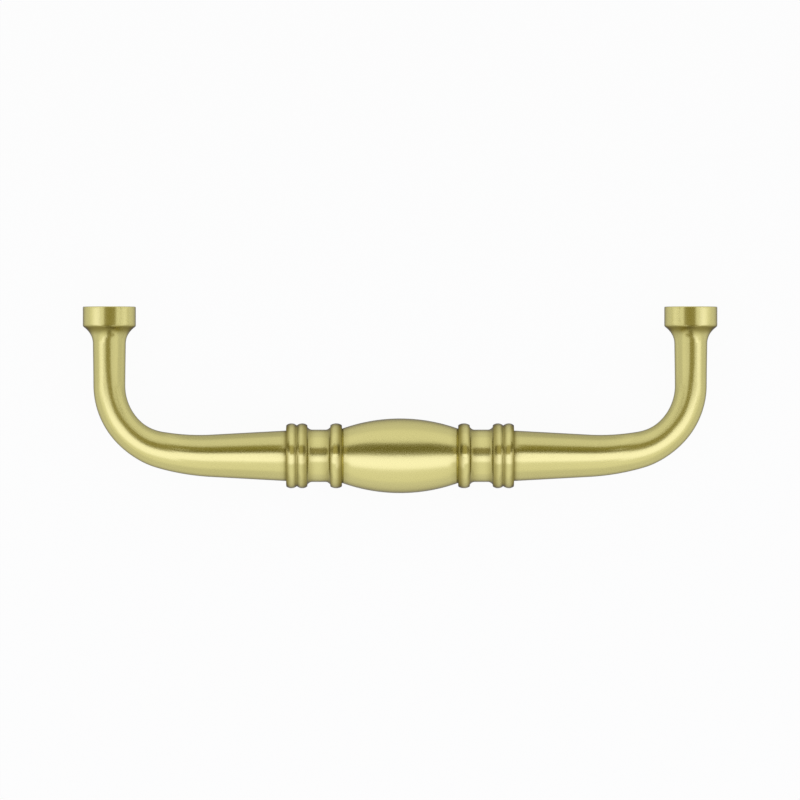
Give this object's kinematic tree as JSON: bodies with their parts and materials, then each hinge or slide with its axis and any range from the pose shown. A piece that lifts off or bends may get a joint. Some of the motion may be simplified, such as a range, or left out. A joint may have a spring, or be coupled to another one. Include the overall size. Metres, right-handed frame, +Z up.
{
  "type": "wire pull",
  "caption": "Turned brass pull for a drawer or cabinet door: a bar with a swelling middle between rings, tapered arms bent back into legs, and flared feet tapped for screws.",
  "frame": {"origin": "Midway between the screw holes, on the plane of the foot faces that meet the drawer front.", "axes": "+X runs along the bar, +Y points into the drawer front and out of the screw holes, +Z is up, square to the plane of the bends."},
  "size_m": [0.1108, 0.0326, 0.013],
  "materials": {
    "satin_brass": "satin, finely brushed, clear lacquered"
  },
  "bodies": {
    "root": {"wire_pull": "satin_brass"}
  },
  "joints": []
}
